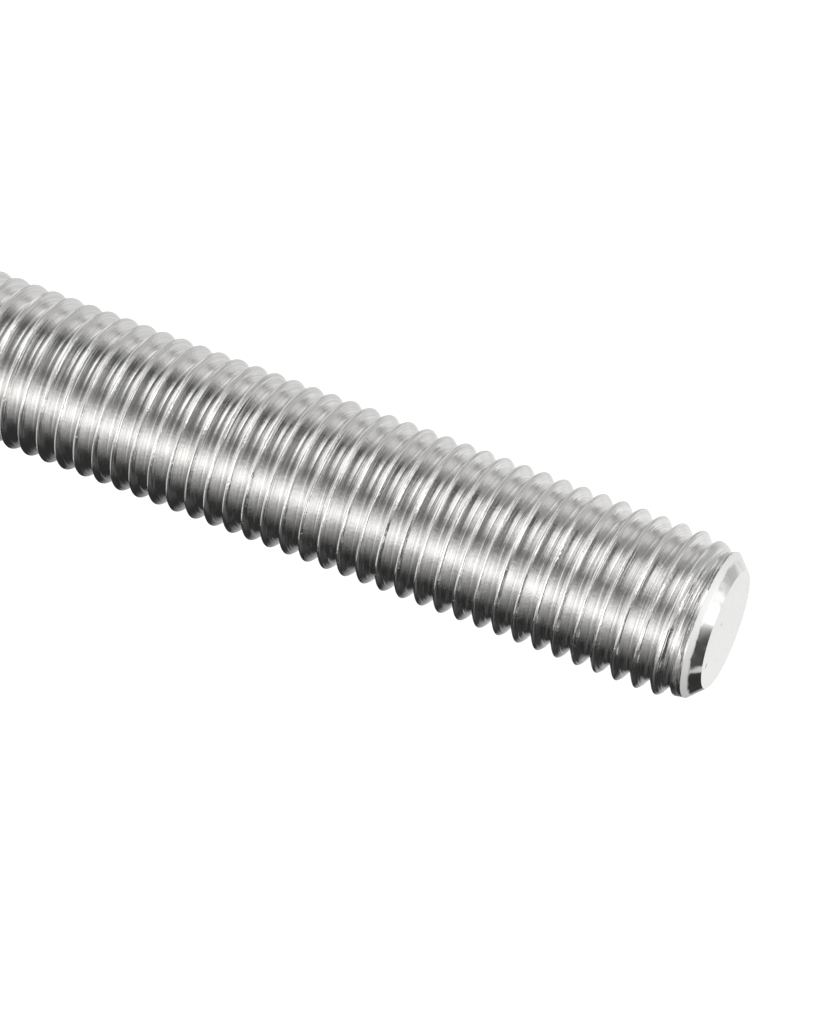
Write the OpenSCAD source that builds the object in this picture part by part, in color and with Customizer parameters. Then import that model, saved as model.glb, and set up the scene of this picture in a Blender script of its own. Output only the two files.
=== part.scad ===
// Threaded rod: a round bar with one thread from end to end and a bevel on each end.
// It stands on its lower end face: the axis is +Z, and the origin is the middle of that face.

/* [Rod] */
// Overall length, from end face to end face
rod_length = 150; // [40:1:200]
// Diameter over the crests of the full thread
major_d = 15.8; // [10:0.1:24]

/* [Thread] */
// Distance from one turn to the next
pitch = 2; // [1.5:0.05:3]
// Which way the thread winds
thread_hand = "left"; // [left, right]
// Angle between a flank and a plane square to the axis
flank_angle = 30; // [25:0.5:35]

/* [Ends] */
// Width of the bevel on each end, measured along the radius
bevel_w = 1.2; // [0.4:0.05:2]
// Angle between the bevel and the axis
bevel_angle = 45; // [30:1:60]
// How far the crests have dropped where they meet the bevel
taper_drop = 0.75; // [0.1:0.05:1]
// Length over which the crests drop
taper_length = 3.8; // [1:0.1:8]

/* [Hidden] */

// The thread's section is a triangle with its crest and its root cut off flat
sharp_height = pitch / (2 * tan(flank_angle));
crest_cut = sharp_height / 8;
root_cut = sharp_height / 6;
root_flat = pitch / 6;

major_r = major_d / 2;
sharp_crest_r = major_r + crest_cut;
root_r = sharp_crest_r - sharp_height + root_cut;
taper_r = major_r - taper_drop;
face_r = taper_r - bevel_w;
bevel_h = bevel_w / tan(bevel_angle);

// The thread runs on past both ends of the blank, which trims it
turns = ceil(rod_length / pitch) + 3;

// The flanks are flat facets, and a turn has as many steps as this many facets allow
facet_limit = 9000;
steps = floor(facet_limit / (6 * turns));
last_step = turns * steps;
// Widened so that the facets lie half outside and half inside the true helix
facet_gain = (PI / steps) / sin(180 / steps);

// Three lines wind up the rod, each given by its radius and its height in the first turn
groove_low = [root_r, -(pitch + root_flat) / 2];
groove_high = [root_r, -(pitch - root_flat) / 2];
sharp_crest = [sharp_crest_r, 0];
lines = [groove_low, groove_high, sharp_crest];

function wound(line, step) = [
    line[0] * facet_gain * cos(360 * step / steps),
    line[0] * facet_gain * sin(360 * step / steps),
    line[1] + pitch * (step / steps - 1),
];
wound_points = [for (line = lines, step = [0 : last_step]) wound(line, step)];
function at(line, step) = line * (last_step + 1) + step;

// The middle of each end's cap, well outside the blank
low_middle = len(wound_points);
high_middle = low_middle + 1;
middles = [[0, 0, -3 * pitch], [0, 0, (turns + 2) * pitch]];

// A band of facets between line a and line b, with b taken the given number of steps further on
function band(a, b, ahead) = [for (step = [0 : last_step - 1 - ahead]) each [
    [at(a, step), at(b, step + ahead), at(b, step + ahead + 1)],
    [at(a, step), at(b, step + ahead + 1), at(a, step + 1)],
]];
function fan(middle, loop) = [for (i = [0 : len(loop) - 1])
    [middle, loop[i], loop[(i + 1) % len(loop)]]];
function turned_over(faces) = [for (face = faces) [face[2], face[1], face[0]]];

low_loop = [for (step = [0 : steps]) at(0, step), at(2, 0), at(1, 0)];
high_loop = [for (step = [last_step - steps : last_step]) at(2, step), at(1, last_step), at(0, last_step)];

module long_thread()
    mirror([0, thread_hand == "left" ? 1 : 0, 0])
        polyhedron(
            points = concat(wound_points, middles),
            faces = concat(
                band(0, 1, 0),
                band(1, 2, 0),
                band(2, 0, steps),
                fan(low_middle, low_loop),
                turned_over(fan(high_middle, high_loop))
            )
        );

module turned_blank()
    rotate_extrude($fn = 96)
        polygon([
            [0, 0],
            [face_r, 0],
            [taper_r, bevel_h],
            [major_r, bevel_h + taper_length],
            [major_r, rod_length - bevel_h - taper_length],
            [taper_r, rod_length - bevel_h],
            [face_r, rod_length],
            [0, rod_length],
        ]);

module threaded_rod()
    color("silver")
        intersection() {
            turned_blank();
            long_thread();
        }

threaded_rod();
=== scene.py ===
"""A threaded rod of bright stainless steel, standing on one end on a white floor.

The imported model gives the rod's length. The thread is wound by geometry nodes and trimmed by a turned blank,
so its crests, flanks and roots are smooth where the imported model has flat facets. All lengths are in metres.
"""

import math

import bpy
import bmesh
from mathutils import Matrix, Vector


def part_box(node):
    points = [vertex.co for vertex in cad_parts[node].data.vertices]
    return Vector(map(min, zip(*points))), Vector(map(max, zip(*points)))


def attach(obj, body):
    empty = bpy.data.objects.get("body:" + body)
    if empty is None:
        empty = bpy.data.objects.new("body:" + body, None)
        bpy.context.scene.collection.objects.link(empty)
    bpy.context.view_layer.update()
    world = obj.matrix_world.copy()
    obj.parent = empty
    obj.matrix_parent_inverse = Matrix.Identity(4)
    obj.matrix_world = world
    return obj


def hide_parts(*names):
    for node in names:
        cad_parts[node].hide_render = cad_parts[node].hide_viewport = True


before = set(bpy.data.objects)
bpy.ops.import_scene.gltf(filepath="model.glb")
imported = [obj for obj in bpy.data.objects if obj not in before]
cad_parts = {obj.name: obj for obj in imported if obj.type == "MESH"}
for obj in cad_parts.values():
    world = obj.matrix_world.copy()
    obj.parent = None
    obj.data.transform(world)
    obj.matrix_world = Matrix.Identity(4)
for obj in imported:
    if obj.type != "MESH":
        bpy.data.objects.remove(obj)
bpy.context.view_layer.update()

MM = 0.001

# The rod's length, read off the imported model, and its outside radius before its crests are rounded
low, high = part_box("threaded_rod")
ROD_LENGTH = high.z - low.z
OUTSIDE_RADIUS = 7.9 * MM

# The thread. Its first crest crosses the -X side at THREAD_START, below the lower end. The seam beside the
# crest has its place and its width as shares of a pitch
PITCH = 2 * MM
LEFT_HAND = -1
FLANK_ANGLE = math.radians(30)
SHARP_HEIGHT = PITCH / (2 * math.tan(FLANK_ANGLE))
SHARP_CREST_RADIUS = OUTSIDE_RADIUS + SHARP_HEIGHT / 8
ROOT_RADIUS = SHARP_CREST_RADIUS - SHARP_HEIGHT * 5 / 6
CREST_ROUNDING = 0.5 * MM
ROOT_ROUNDING = 0.5 * MM
CREST_SEAM_PLACE = 0.06
CREST_SEAM_WIDTH = 0.04
CREST_SEAM_DEPTH = 0.03 * MM
THREAD_START = -3.27 * MM

# The ends: a slightly crowned bevel, then a plain land, then the groove, which deepens as the crests rise.
# The saw slipped, so the upper face is lower by twice SAW_SLIP opposite the side named
TAPER_DROP = 0.75 * MM
TAPER_LENGTH = 3.4 * MM
BEVEL_WIDTH = 1.47 * MM
BEVEL_CROWN = 0.008 * MM
LAND_END = 1.37 * MM
GROOVE_RUN_IN = 1.1 * MM
TAPER_RADIUS = OUTSIDE_RADIUS - TAPER_DROP
FACE_RADIUS = TAPER_RADIUS - BEVEL_WIDTH
BRIGHT_CUT_RADIUS = 6.6 * MM
SAW_SLIP = 0.06 * MM
SAW_SLIP_SIDE = math.radians(325)
PIT_PLACE = (0.9 * MM, -4.5 * MM, ROD_LENGTH - 0.04 * MM)

# How finely the meshes are cut, and the bend past which an edge is crisp
STEPS_PER_TURN = 72
ROWS_PER_TURN = 16
BLANK_STEPS = 240
BEVEL_CUTS = 6
CRISP_BEND = math.radians(38)

# The light tent that the steel reflects: an upright screen round the rod, and level rings over and under it.
# The screen is made of bands, from its foot to its top, each with the heights that it spans. Each stop in a
# band is an angle from the camera's side, in degrees, and how bright the screen is there
CAMERA_SIDE = -131.56
TENT_RADIUS = 120 * MM
TENT_HEIGHT = 450 * MM
TENT_CUTS = 96
BRIGHTEST = 3
SCREEN_BANDS = {
    "screen_foot": (0 * MM, 30 * MM, [
        (0, 0.3), (15, 0.6), (25, 1.1), (45, 1.7), (55, 1.5), (65, 1.1), (78, 0.6), (92, 0.25), (115, 0.04),
        (153, 0.03), (168, 0.5), (178, 1.1), (200, 0.8), (225, 0.8), (240, 0.6), (254, 1.0), (264, 1.05),
        (280, 0.7), (296, 0.4), (308, 0.6), (323, 0.7), (341, 0.5), (360, 0.35),
    ]),
    "low_screen": (30 * MM, 95 * MM, [
        (0, 0.2), (13, 0.4), (23, 0.9), (35, 1.6), (45, 1.85), (55, 1.5), (65, 0.9), (83, 0.42), (102, 0.1),
        (115, 0.04), (153, 0.03), (168, 0.5), (178, 1.1), (200, 0.8), (225, 0.8), (240, 0.55), (254, 1.0),
        (265, 1.0), (280, 0.45), (296, 0.1), (312, 0.2), (328, 0.4), (344, 0.3), (360, 0.2),
    ]),
    "upper_low_screen": (95 * MM, 150 * MM, [
        (0, 0.3), (18, 0.7), (33, 1.35), (45, 1.85), (55, 1.4), (65, 0.65), (90, 0.28), (112, 0.04),
        (153, 0.03), (168, 0.5), (178, 1.1), (200, 0.8), (225, 0.8), (240, 0.55), (254, 1.0), (266, 1.0),
        (278, 0.55), (296, 0.5), (305, 0.9), (315, 1.6), (330, 1.6), (344, 1.1), (360, 0.35),
    ]),
    "gap_screen": (150 * MM, 188 * MM, [
        (0, 0.2), (23, 0.75), (38, 1.0), (48, 1.2), (63, 0.5), (90, 0.18), (156, 0.03), (164, 0.5),
        (174, 1.05), (210, 0.9), (240, 0.5), (265, 0.7), (285, 0.4), (296, 0.35), (312, 1.2), (328, 1.4),
        (344, 0.8), (360, 0.2),
    ]),
    "high_lamp": (188 * MM, 250 * MM, [
        (0, 0.7), (23, 1.4), (48, 2.4), (63, 1.6), (78, 0.65), (92, 0.12), (110, 0.04), (156, 0.04),
        (164, 0.5), (174, 1.05), (200, 1.0), (218, 1.0), (226, 0.65), (240, 0.6), (265, 0.5), (285, 0.5),
        (300, 1.1), (328, 2.2), (341, 1.4), (360, 0.7),
    ]),
    "middle_foot": (250 * MM, 280 * MM, [
        (0, 0.4), (23, 1.1), (48, 1.7), (63, 1.7), (78, 1.4), (90, 0.1), (109, 0.1), (114, 0.75), (124, 0.75),
        (130, 0.1), (140, 0.05), (190, 0.1), (205, 0.7), (220, 0.75), (236, 0.6), (250, 0.7), (265, 0.6),
        (285, 0.35), (310, 0.5), (330, 0.5), (345, 0.3), (360, 0.4),
    ]),
    "middle_screen": (280 * MM, 330 * MM, [
        (0, 0.4), (23, 1.1), (48, 1.7), (63, 1.7), (78, 1.4), (90, 0.1), (110, 0.08), (140, 0.05), (190, 0.1),
        (205, 0.7), (220, 0.8), (240, 0.7), (250, 0.8), (260, 1.0), (268, 0.8), (285, 0.35), (310, 0.5),
        (330, 0.5), (345, 0.3), (360, 0.4),
    ]),
    "upper_screen": (330 * MM, 415 * MM, [
        (0, 0.4), (18, 0.8), (40, 0.9), (52, 0.12), (80, 0.08), (180, 0.05), (210, 0.4), (240, 0.4),
        (255, 0.7), (265, 1.3), (285, 1.3), (296, 0.8), (305, 0.4), (345, 0.4), (360, 0.4),
    ]),
    "top_screen": (415 * MM, 450 * MM, [
        (0, 0.4), (23, 0.6), (48, 0.8), (62, 0.1), (88, 0.1), (98, 1.2), (110, 1.2), (122, 0.2), (180, 0.05),
        (210, 0.4), (240, 0.4), (262, 0.8), (300, 1.6), (330, 1.2), (345, 0.6), (360, 0.4),
    ]),
}

# The level rings: each one's inner and outer radius, its height, and its stops as above
LEVEL_RINGS = {
    "lid_rim": (75 * MM, TENT_RADIUS * 1.01, TENT_HEIGHT, [
        (0, 1.2), (23, 0.55), (42, 0.3), (58, 0.14), (75, 0.08), (270, 0.03), (282, 1.5), (295, 2.1),
        (350, 2.1), (360, 1.2),
    ]),
    "lid_middle": (40 * MM, 75 * MM, TENT_HEIGHT, [
        (0, 1.2), (23, 0.55), (42, 0.3), (58, 0.14), (66, 0.1), (80, 1.0), (120, 1.0), (140, 0.03),
        (270, 0.03), (282, 1.5), (295, 2.1), (350, 2.1), (360, 1.2),
    ]),
    "lid_centre": (1 * MM, 40 * MM, TENT_HEIGHT, [(0, 0.03), (360, 0.03)]),
    "lid_lamp": (1 * MM, 25 * MM, TENT_HEIGHT - 10 * MM, [(0, 1.5), (360, 1.5)]),
    "floor_card": (30 * MM, TENT_RADIUS * 0.99, 1 * MM, [
        (0, 1.0), (285, 1.0), (300, 1.4), (345, 1.4), (360, 1.0),
    ]),
}


class Wire:
    """One output of a node tree. Arithmetic on it adds Math nodes to the same tree."""

    def __init__(self, tree, socket=None):
        self.tree = tree
        self.socket = socket

    def node(self, kind, settings=None, values=None, output=0):
        """Adds any node: its settings are made first, then its sockets are set or linked."""
        made = self.tree.nodes.new(kind)
        for name, value in (settings or {}).items():
            if name == "stops":
                set_stops(made.color_ramp, value)
            else:
                setattr(made, name, value)
        for key, value in (values or {}).items():
            if isinstance(value, Wire):
                self.tree.links.new(value.socket, made.inputs[key])
            else:
                made.inputs[key].default_value = value
        return Wire(self.tree, made.outputs[output] if len(made.outputs) else None)

    def other(self, name):
        """Another output of the node that this one comes from."""
        return Wire(self.tree, self.socket.node.outputs[name])

    def maths(self, operation, *values):
        sockets = dict(enumerate((self, *values)))
        return self.node("ShaderNodeMath", {"operation": operation}, sockets)

    def __add__(self, other):
        return self.maths("ADD", other)

    def __sub__(self, other):
        return self.maths("SUBTRACT", other)

    def __rsub__(self, other):
        return self.node("ShaderNodeMath", {"operation": "SUBTRACT"}, {0: other, 1: self})

    def __mul__(self, other):
        return self.maths("MULTIPLY", other)

    def __truediv__(self, other):
        return self.maths("DIVIDE", other)

    def __rtruediv__(self, other):
        return self.node("ShaderNodeMath", {"operation": "DIVIDE"}, {0: other, 1: self})

    def __gt__(self, other):
        return self.maths("GREATER_THAN", other)

    def __lt__(self, other):
        return self.maths("LESS_THAN", other)

    __radd__ = __add__
    __rmul__ = __mul__


def set_stops(ramp, stops):
    """Gives a colour ramp these stops: a list of positions and greys."""
    while len(ramp.elements) < len(stops):
        ramp.elements.new(1.0)
    for element, (position, grey) in zip(ramp.elements, stops):
        element.position = position
        element.color = (grey, grey, grey, 1)


def smooth_step(share):
    """0 below 0, 1 above 1, and a smooth rise between them."""
    inside = share.maths("MAXIMUM", 0.0).maths("MINIMUM", 1.0)
    return inside * inside * (3 - inside * 2)


def rescaled(value, low, high, at_low, at_high):
    """A value from low to high, moved to the range from at_low to at_high and held in it."""
    return value.node("ShaderNodeMapRange", None, {"Value": value, 1: low, 2: high, 3: at_low, 4: at_high})


def vector(x, y, z):
    """Three wires as one vector."""
    return x.node("ShaderNodeCombineXYZ", None, {0: x, 1: y, 2: z})


def noise(place, scale, detail):
    """Cloudy noise, most of it near 0.5."""
    return place.node("ShaderNodeTexNoise", None, {"Vector": place, "Scale": scale, "Detail": detail})


def blend(share, from_colour, to_colour):
    """A mix of two colours, each of them a plain colour or a wire."""
    return share.node("ShaderNodeMix", {"data_type": "RGBA"}, {0: share, 6: from_colour, 7: to_colour}, 2)


# ---------------------------------------------------------------- the blank

def bevel_outline(cut):
    """One bevel from its face outwards, as radii and depths. The face is cut down by this much."""
    edge = FACE_RADIUS + cut
    points = [(edge, cut)]
    inset = 0.04
    for inner, outer in ((edge, BRIGHT_CUT_RADIUS), (BRIGHT_CUT_RADIUS, TAPER_RADIUS)):
        for i in range(BEVEL_CUTS + 1):
            share = inset + (1 - 2 * inset) * i / BEVEL_CUTS
            crown = 4 * share * (1 - share) * BEVEL_CROWN
            radius = inner + (outer - inner) * share
            points.append((radius + crown, max(radius - FACE_RADIUS - crown, 0)))
    margin = 0.2 * MM
    points.append((OUTSIDE_RADIUS + margin, BEVEL_WIDTH + TAPER_DROP + margin))
    return points


def turned_blank():
    """The rod before its thread: a lathe outline turned around the axis, as a plain closed mesh.

    The lower face is square to the axis, and the upper one leans a little, as a saw leaves it.
    """
    mesh = bpy.data.meshes.new("turned_blank")
    shape = bmesh.new()
    columns = []
    for step in range(BLANK_STEPS):
        angle = 2 * math.pi * step / BLANK_STEPS
        lower = bevel_outline(0)
        upper = bevel_outline(SAW_SLIP * (1 - math.cos(angle - SAW_SLIP_SIDE)))
        outline = lower + [(radius, ROD_LENGTH - depth) for radius, depth in reversed(upper)]
        columns.append([
            shape.verts.new((radius * math.cos(angle), radius * math.sin(angle), height))
            for radius, height in outline
        ])
    for column, following in zip(columns, columns[1:] + columns[:1]):
        for i in range(len(column) - 1):
            shape.faces.new((column[i], following[i], following[i + 1], column[i + 1]))
    shape.faces.new([column[0] for column in reversed(columns)])
    shape.faces.new([column[-1] for column in columns])
    shape.to_mesh(mesh)
    shape.free()
    blank = bpy.data.objects.new("turned_blank", mesh)
    bpy.context.scene.collection.objects.link(blank)
    return blank


# ---------------------------------------------------------------- the thread

THREAD_INPUTS = {
    "Length": ("NodeSocketFloat", ROD_LENGTH),
    "Pitch": ("NodeSocketFloat", PITCH),
    "Hand": ("NodeSocketFloat", LEFT_HAND),
    "Crest Radius": ("NodeSocketFloat", OUTSIDE_RADIUS),
    "Sharp Crest Radius": ("NodeSocketFloat", SHARP_CREST_RADIUS),
    "Sharp Height": ("NodeSocketFloat", SHARP_HEIGHT),
    "Root Radius": ("NodeSocketFloat", ROOT_RADIUS),
    "Crest Rounding": ("NodeSocketFloat", CREST_ROUNDING),
    "Root Rounding": ("NodeSocketFloat", ROOT_ROUNDING),
    "Crest Seam Place": ("NodeSocketFloat", CREST_SEAM_PLACE),
    "Crest Seam Width": ("NodeSocketFloat", CREST_SEAM_WIDTH),
    "Crest Seam Depth": ("NodeSocketFloat", CREST_SEAM_DEPTH),
    "Start": ("NodeSocketFloat", THREAD_START),
    "Bevel Height": ("NodeSocketFloat", BEVEL_WIDTH),
    "Taper Drop": ("NodeSocketFloat", TAPER_DROP),
    "Taper Length": ("NodeSocketFloat", TAPER_LENGTH),
    "Land End": ("NodeSocketFloat", LAND_END),
    "Groove Run In": ("NodeSocketFloat", GROOVE_RUN_IN),
    "Steps": ("NodeSocketInt", STEPS_PER_TURN),
    "Rows": ("NodeSocketInt", ROWS_PER_TURN),
    "Blank": ("NodeSocketObject", None),
    "Thread Finish": ("NodeSocketMaterial", None),
    "End Finish": ("NodeSocketMaterial", None),
}


def thread_tree():
    """Winds a sheet around the axis into a helical thread, and keeps what lies inside the blank."""
    tree = bpy.data.node_groups.new("long_thread", "GeometryNodeTree")
    for name, (kind, _) in THREAD_INPUTS.items():
        tree.interface.new_socket(name, in_out="INPUT", socket_type=kind)
    tree.interface.new_socket("Geometry", in_out="OUTPUT", socket_type="NodeSocketGeometry")
    start = Wire(tree)
    size = start.node("NodeGroupInput")
    pitch = size.other("Pitch")
    length = size.other("Length")
    tiny = 0.001 * MM

    # A flat sheet: x goes once around the rod, y up it from turn to turn, with turns to spare at both ends
    spare_turns = 4
    turns = (length / pitch).maths("CEIL") + spare_turns
    sheet = start.node("GeometryNodeMeshGrid", None, {
        "Size X": 1.0,
        "Size Y": 1.0,
        "Vertices X": size.other("Steps") + 1,
        "Vertices Y": turns * size.other("Rows") + 1,
    })
    place = start.node("ShaderNodeSeparateXYZ", None, {0: start.node("GeometryNodeInputPosition")})
    around = place + 0.5
    across = (place.other("Y") + 0.5) * turns

    # The rows crowd together at the crests and the roots, where the section curves
    crowding = 0.7
    phase = across - (across * (4 * math.pi)).maths("SINE") * (crowding / (4 * math.pi))
    height = (phase + size.other("Hand") * (around - 0.5)) * pitch + size.other("Start")

    # Towards the nearer end the crests drop and the groove fills up, each in a smooth step
    depth = height.maths("MINIMUM", length - height)
    risen = smooth_step((depth - size.other("Bevel Height")) / size.other("Taper Length"))
    crest = size.other("Crest Radius") - (1 - risen) * size.other("Taper Drop")
    open_groove = smooth_step((depth - size.other("Land End")) / size.other("Groove Run In"))
    root = crest - (crest - size.other("Root Radius")) * open_groove

    # The section is a sharp triangle, then its crest and its root are rounded off
    from_crest = phase.maths("PINGPONG", 0.5)
    flank = size.other("Sharp Crest Radius") - from_crest * 2 * size.other("Sharp Height")
    topped = flank.maths("SMOOTH_MIN", crest, size.other("Crest Rounding"))
    rounded = topped.maths("SMOOTH_MAX", root, size.other("Root Rounding") * open_groove + tiny)

    # Rolling leaves a fine seam beside the crest, where the metal met from both sides
    off_seam = (phase.maths("FRACT") - size.other("Crest Seam Place")) / size.other("Crest Seam Width")
    seam = (1 - (off_seam * off_seam).maths("MINIMUM", 1.0)).maths("POWER", 2.0)
    radius = rounded - seam * size.other("Crest Seam Depth") * open_groove

    # Past the blank the sheet closes on the axis
    lowest = pitch * -0.5
    highest = length + pitch * 0.5
    inside = (height > lowest) * (height < highest)
    angle = around * (2 * math.pi)
    position = vector(
        radius * inside * angle.maths("COSINE"),
        radius * inside * angle.maths("SINE"),
        height.maths("MAXIMUM", lowest).maths("MINIMUM", highest),
    )
    wound = start.node("GeometryNodeSetPosition", None, {"Geometry": sheet, "Position": position})
    closed = start.node("GeometryNodeMergeByDistance", None, {"Geometry": wound, "Distance": tiny})

    # Faces that come from the blank are marked, so that they take the other finish. Both shapes go into the
    # same socket
    blank = start.node("GeometryNodeObjectInfo", None, {0: size.other("Blank")}, "Geometry")
    marked = start.node(
        "GeometryNodeStoreNamedAttribute",
        {"data_type": "FLOAT", "domain": "FACE"},
        {"Geometry": blank, "Name": "machined", "Value": 1.0},
    )
    rod = start.node(
        "GeometryNodeMeshBoolean",
        {"operation": "INTERSECT", "solver": "MANIFOLD"},
        {"Mesh 2": closed},
    )
    tree.links.new(marked.socket, rod.socket.node.inputs["Mesh 2"])

    # Edges are crisp where the surface bends sharply and where the finishes meet, and smooth elsewhere
    machined = start.node("GeometryNodeInputNamedAttribute", {"data_type": "FLOAT"}, {"Name": "machined"})
    crisp = start.node("GeometryNodeInputMeshEdgeAngle") > CRISP_BEND
    border = (machined > 0.25) * (machined < 0.75)
    smooth_edges = 1 - crisp.maths("MAXIMUM", border)
    shaded = start.node("GeometryNodeSetShadeSmooth", {"domain": "FACE"}, {"Geometry": rod})
    shaded = start.node(
        "GeometryNodeSetShadeSmooth",
        {"domain": "EDGE"},
        {"Geometry": shaded, "Shade Smooth": smooth_edges > 0.5},
    )
    whole = start.node("GeometryNodeRealizeInstances", None, {"Geometry": shaded})
    finished = start.node(
        "GeometryNodeSetMaterial", None, {"Geometry": whole, "Material": size.other("Thread Finish")}
    )
    finished = start.node("GeometryNodeSetMaterial", None, {
        "Geometry": finished,
        "Selection": machined > 0.5,
        "Material": size.other("End Finish"),
    })
    start.node("NodeGroupOutput", None, {"Geometry": finished})
    return tree


def threaded_rod(thread_finish, end_finish):
    """The whole rod as one plain mesh."""
    blank = turned_blank()
    tree = thread_tree()
    values = {name: value for name, (_, value) in THREAD_INPUTS.items()}
    values["Blank"] = blank
    values["Thread Finish"] = thread_finish
    values["End Finish"] = end_finish
    maker = bpy.data.objects.new("thread_maker", bpy.data.meshes.new("thread_maker"))
    bpy.context.scene.collection.objects.link(maker)
    modifier = maker.modifiers.new("long_thread", "NODES")
    modifier.node_group = tree
    for item in tree.interface.items_tree:
        if item.in_out == "INPUT":
            modifier[item.identifier] = values[item.name]
    evaluated = maker.evaluated_get(bpy.context.evaluated_depsgraph_get())
    mesh = bpy.data.meshes.new_from_object(evaluated)
    mesh.name = "threaded_rod_steel"
    rod = bpy.data.objects.new("threaded_rod_steel", mesh)
    bpy.context.scene.collection.objects.link(rod)
    bpy.data.objects.remove(maker)
    bpy.data.objects.remove(blank)
    return rod


# ---------------------------------------------------------------- finishes

def shader(name):
    """An empty material, and the wire that its nodes hang on."""
    material = bpy.data.materials.new(name)
    material.use_nodes = True
    tree = material.node_tree
    tree.nodes.clear()
    return material, Wire(tree)


def place_on_object(start):
    """The place of a point of the surface as one vector, then its X, its Y and its Z."""
    place = start.node("ShaderNodeTexCoord", None, None, "Object")
    x = start.node("ShaderNodeSeparateXYZ", None, {0: place})
    return place, x, x.other("Y"), x.other("Z")


def from_axis(x, y):
    """How far a point is from the rod's axis."""
    return (x * x + y * y).maths("SQRT")


def from_nearer_end(z):
    """How far a point is from the nearer end of the rod."""
    return z.maths("MINIMUM", ROD_LENGTH - z)


def rolled_thread_finish():
    """Bright rolled stainless steel: fine lines that run round the rod with the thread."""
    material, start = shader("rolled_thread")
    place, x, y, z = place_on_object(start)
    along = z - THREAD_START
    turn = along * (2 * math.pi / PITCH) - y.maths("ARCTAN2", x) * LEFT_HAND - math.pi

    def lines(closeness, reach):
        """Noise that runs along the helix: how close its lines are across a pitch, and how far they reach."""
        wound = vector(turn.maths("COSINE") * closeness, turn.maths("SINE") * closeness, along / reach)
        return noise(wound, 1.0, 2.0)

    broad = lines(1.3, 0.9 * PITCH)
    fine = lines(3.2, 0.7 * PITCH)
    hair = lines(7.0, 0.5 * PITCH)
    grain = noise(place, 3000.0, 2.0)

    # Crests carry small nicks from handling
    on_crest = smooth_step((from_axis(x, y) - (OUTSIDE_RADIUS - 0.3 * MM)) / (0.2 * MM))
    nick = smooth_step((noise(place, 1800.0, 2.0) - 0.64) / 0.08) * on_crest

    # The cut left burrs right behind the bevel, drawn out round the rod. Their relief is bump, and their
    # darkened colour is painted shade
    depth = from_nearer_end(z)
    burr_length = 2.5 * MM
    burr_width = 0.15 * MM
    burrs_start = BEVEL_WIDTH - 0.05 * MM
    burrs_end = BEVEL_WIDTH + 0.5 * MM
    ragged = noise(vector(x / burr_length, y / burr_length, depth / burr_width), 1.0, 3.0)
    behind_bevel = smooth_step((depth - burrs_start) / (0.15 * MM))
    on_thread = smooth_step((depth - burrs_end) / (0.5 * MM))
    burr_and_shade = smooth_step((ragged - 0.5) / 0.1) * (behind_bevel * (1 - on_thread))

    dull_line = (0.67, 0.664, 0.656, 1)
    bright_line = (0.81, 0.805, 0.797, 1)
    lined = blend(rescaled(fine * 0.6 + hair * 0.4, 0.38, 0.62, 0.0, 1.0), dull_line, bright_line)
    # Painted shade: the burrs are darkened in colour, as if they lay in shade
    colour = blend(burr_and_shade * 0.7, lined, (0.12, 0.12, 0.12, 1))
    rough = rescaled(fine, 0.35, 0.65, 0.15, 0.07)
    relief = broad + fine * 0.25 + hair * 0.06 + grain * 0.2 - nick * 0.25 - burr_and_shade * 0.9
    bump = start.node("ShaderNodeBump", None, {"Strength": 1.0, "Distance": 0.08 * MM, "Height": relief})
    surface = start.node("ShaderNodeBsdfPrincipled", None, {
        "Base Color": colour,
        "Metallic": 1.0,
        "Roughness": rough,
        "Normal": bump,
    })
    start.node("ShaderNodeOutputMaterial", None, {"Surface": surface})
    return material


def machined_end_finish():
    """Turned steel: a mirror-smooth cut round a sawn face, and a matte edge outside it."""
    material, start = shader("machined_end")
    place, x, y, z = place_on_object(start)
    distance = from_axis(x, y)
    depth = from_nearer_end(z)

    # The edge and the face start at slightly ragged circles
    ragged = noise(place, 1400.0, 2.0) - 0.5
    past_cut = distance + ragged * (0.3 * MM) - BRIGHT_CUT_RADIUS
    on_edge = smooth_step((past_cut + 0.08 * MM) / (0.2 * MM))
    past_face = distance + ragged * (0.1 * MM) - FACE_RADIUS - depth
    on_face = 1 - smooth_step((past_face + 0.12 * MM) / (0.05 * MM))

    # Fine rings from the cutting tool
    tool_mark = 0.07 * MM
    rings = noise(vector(distance / tool_mark, depth / tool_mark, x / (2.5 * MM)), 1.0, 2.0)
    grain = noise(place, 4000.0, 2.0)

    # Small dark specks on the faces, and one pit in the upper one
    off_pit = vector(x - PIT_PLACE[0], y - PIT_PLACE[1], z - PIT_PLACE[2])
    from_pit = start.node("ShaderNodeVectorMath", {"operation": "LENGTH"}, {0: off_pit}, "Value")
    pit = 1 - smooth_step((from_pit - 0.2 * MM) / (0.12 * MM))
    specks = smooth_step((noise(place, 700.0, 1.0) - 0.72) / 0.03) * on_face

    ringed = blend((rings * 0.5 + grain * 0.5 - 0.3) * 2.5, (0.7, 0.695, 0.685, 1), (0.8, 0.795, 0.785, 1))
    paler = blend(on_edge, ringed, (0.87, 0.865, 0.855, 1))
    colour = blend(specks.maths("MAXIMUM", pit) * 0.75, paler, (0.2, 0.2, 0.2, 1))
    rough = 0.1 + on_edge * 0.48 + on_face * 0.12
    relief = rings * (0.4 + on_edge * 0.6) + grain * on_edge
    bump = start.node("ShaderNodeBump", None, {"Strength": 1.0, "Distance": 0.004 * MM, "Height": relief})
    surface = start.node("ShaderNodeBsdfPrincipled", None, {
        "Base Color": colour,
        "Metallic": 1 - on_edge * 0.5 - on_face * 0.35,
        "Roughness": rough,
        "Normal": bump,
    })
    start.node("ShaderNodeOutputMaterial", None, {"Surface": surface})
    return material


# ---------------------------------------------------------------- camera, floor and light

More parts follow.
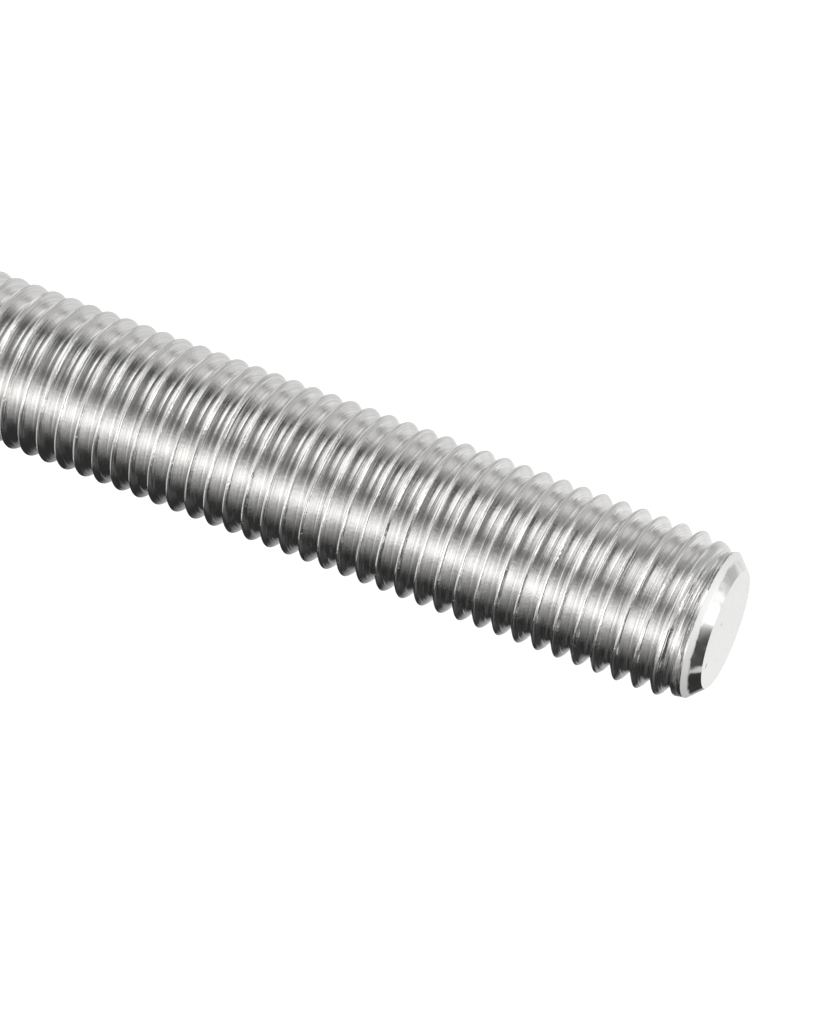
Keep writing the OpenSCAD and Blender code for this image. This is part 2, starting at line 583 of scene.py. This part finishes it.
def studio_camera():
    """Looks at the upper end from above, turned so that the rod crosses the picture."""
    azimuth = math.radians(CAMERA_SIDE + 90)
    elevation = math.radians(16.31)
    roll = math.radians(110.62)
    data = bpy.data.cameras.new("camera")
    data.lens = 138.3
    data.sensor_width = 36
    data.clip_start = 0.01
    data.clip_end = 20
    camera = bpy.data.objects.new("camera", data)
    turn = Matrix.Rotation(azimuth, 4, "Z") @ Matrix.Rotation(math.pi / 2 - elevation, 4, "X")
    turn = turn @ Matrix.Rotation(roll, 4, "Z")
    tip = Vector((0, 0, ROD_LENGTH))
    from_tip = Vector((-0.2347, -0.2648, 0.07133))
    camera.matrix_world = Matrix.Translation(tip + from_tip) @ turn
    bpy.context.scene.collection.objects.link(camera)
    bpy.context.scene.camera = camera


def plain_mesh(name, points, faces, material):
    """A mesh object of these points and faces."""
    mesh = bpy.data.meshes.new(name)
    mesh.from_pydata(points, [], faces)
    mesh.materials.append(material)
    made = bpy.data.objects.new(name, mesh)
    bpy.context.scene.collection.objects.link(made)
    return made


def seen(start):
    """1 where a surface is looked at, straight or in a mirror or through glass, and 0 elsewhere."""
    straight = start.node("ShaderNodeLightPath")
    mirrored = straight.maths("MAXIMUM", straight.other("Is Glossy Ray"))
    return mirrored.maths("MAXIMUM", straight.other("Is Transmission Ray"))


def white_floor():
    """A plain floor that looks white, and is darker only where the rod shades it."""
    material, start = shader("white_floor")
    paint = start.node("ShaderNodeBsdfDiffuse", None, {"Color": (0.8, 0.8, 0.8, 1)})
    white = start.node("ShaderNodeEmission", None, {"Color": (1, 1, 1, 1), "Strength": seen(start) * 0.4})
    both = start.node("ShaderNodeAddShader", None, {0: paint, 1: white})
    start.node("ShaderNodeOutputMaterial", None, {"Surface": both})
    half = 6.0
    corners = [(-half, -half, 0), (half, -half, 0), (half, half, 0), (-half, half, 0)]
    floor = plain_mesh("floor", corners, [(0, 1, 2, 3)], material)


def glowing(name, stops):
    """A plain light source. Its bright and dark parts, given by angles round the rod, run together."""
    material, start = shader(name)
    _, x, y, _ = place_on_object(start)
    angle = y.maths("ARCTAN2", x) / (2 * math.pi) - CAMERA_SIDE / 360
    shares = [(degrees / 360, brightness / BRIGHTEST) for degrees, brightness in stops]
    ramp = start.node("ShaderNodeValToRGB", {"stops": shares}, {0: angle.maths("FRACT")})
    brightness = start.node("ShaderNodeSeparateColor", None, {0: ramp}) * BRIGHTEST
    glow = start.node("ShaderNodeEmission", None, {"Color": (1, 1, 1, 1), "Strength": brightness})
    start.node("ShaderNodeOutputMaterial", None, {"Surface": glow})
    material.cycles.emission_sampling = "NONE"
    return material


def tent_ring(name, first, last, stops):
    """A ring of the tent between two circles, each given by its radius and its height."""
    points, faces = [], []
    for i in range(TENT_CUTS):
        angle = 2 * math.pi * i / TENT_CUTS
        for radius, height in (first, last):
            points.append((radius * math.cos(angle), radius * math.sin(angle), height))
        after = 2 * ((i + 1) % TENT_CUTS)
        faces.append((2 * i, after, after + 1, 2 * i + 1))
    ring = plain_mesh(name, points, faces, glowing(name, stops))
    ring.visible_camera = False
    ring.visible_diffuse = False
    ring.visible_shadow = False


def soft_box():
    """A large soft lamp overhead, which gives the rod its shadow on the floor."""
    data = bpy.data.lights.new("soft_box", "AREA")
    data.shape = "SQUARE"
    data.size = 0.6
    data.energy = 3.5
    lamp = bpy.data.objects.new("soft_box", data)
    angle = math.radians(CAMERA_SIDE - 120)
    aside = 0.3
    height = 1.3
    place = Vector((aside * math.cos(angle), aside * math.sin(angle), height))
    lamp.location = place
    lamp.rotation_euler = place.to_track_quat("Z", "Y").to_euler()
    bpy.context.scene.collection.objects.link(lamp)


def studio_world():
    """Plain white surroundings, which also light the floor."""
    world = bpy.data.worlds.new("studio")
    bpy.context.scene.world = world
    world.use_nodes = True
    tree = world.node_tree
    tree.nodes.clear()
    start = Wire(tree)
    strength = 0.75 + seen(start) * 0.25
    white = start.node("ShaderNodeBackground", None, {"Color": (1, 1, 1, 1), "Strength": strength})
    start.node("ShaderNodeOutputWorld", None, {"Surface": white})


bpy.context.scene.view_settings.view_transform = "Standard"
studio_camera()
rod = threaded_rod(rolled_thread_finish(), machined_end_finish())
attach(rod, "root")
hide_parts("threaded_rod")
white_floor()
for name, (foot, top, stops) in SCREEN_BANDS.items():
    tent_ring(name, (TENT_RADIUS, foot), (TENT_RADIUS, top), stops)
for name, (inner, outer, height, stops) in LEVEL_RINGS.items():
    tent_ring(name, (inner, height), (outer, height), stops)
soft_box()
studio_world()
